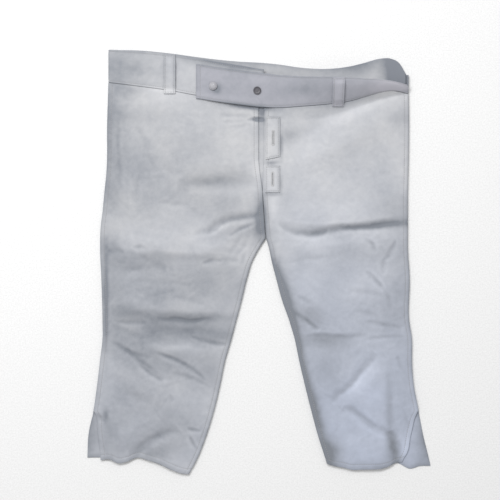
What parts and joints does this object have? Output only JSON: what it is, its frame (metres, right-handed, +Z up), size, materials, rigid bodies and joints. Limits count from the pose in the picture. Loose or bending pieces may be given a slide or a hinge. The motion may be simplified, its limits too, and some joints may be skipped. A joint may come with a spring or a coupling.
{
  "type": "leather trousers",
  "caption": "Knee-length white leather trousers with a waistband tab and a fly front, laid flat on their back with the waist standing open at one side.",
  "frame": {"origin": "centre of the garment's outline on the surface that it lies on", "axes": "+Y towards the waist, +X towards the wearer's left leg, +Z up from the surface"},
  "size_m": [0.5859, 0.724, 0.0385],
  "materials": {
    "leather": "matte",
    "band_leather": "matte",
    "button_leather": "satin",
    "button_horn": "satin"
  },
  "bodies": {
    "root": {"front_right": "leather", "front_left": "leather", "back_right": "leather", "back_left": "leather", "waistband_right": "band_leather", "waistband_left": "band_leather", "waistband_back": "band_leather", "fly_underlap": "leather", "fly_tab_upper": "leather", "fly_tab_lower": "leather", "belt_loop_right": "band_leather", "belt_loop_left": "band_leather", "button_light": "button_leather", "button_dark": "button_horn"}
  },
  "joints": []
}
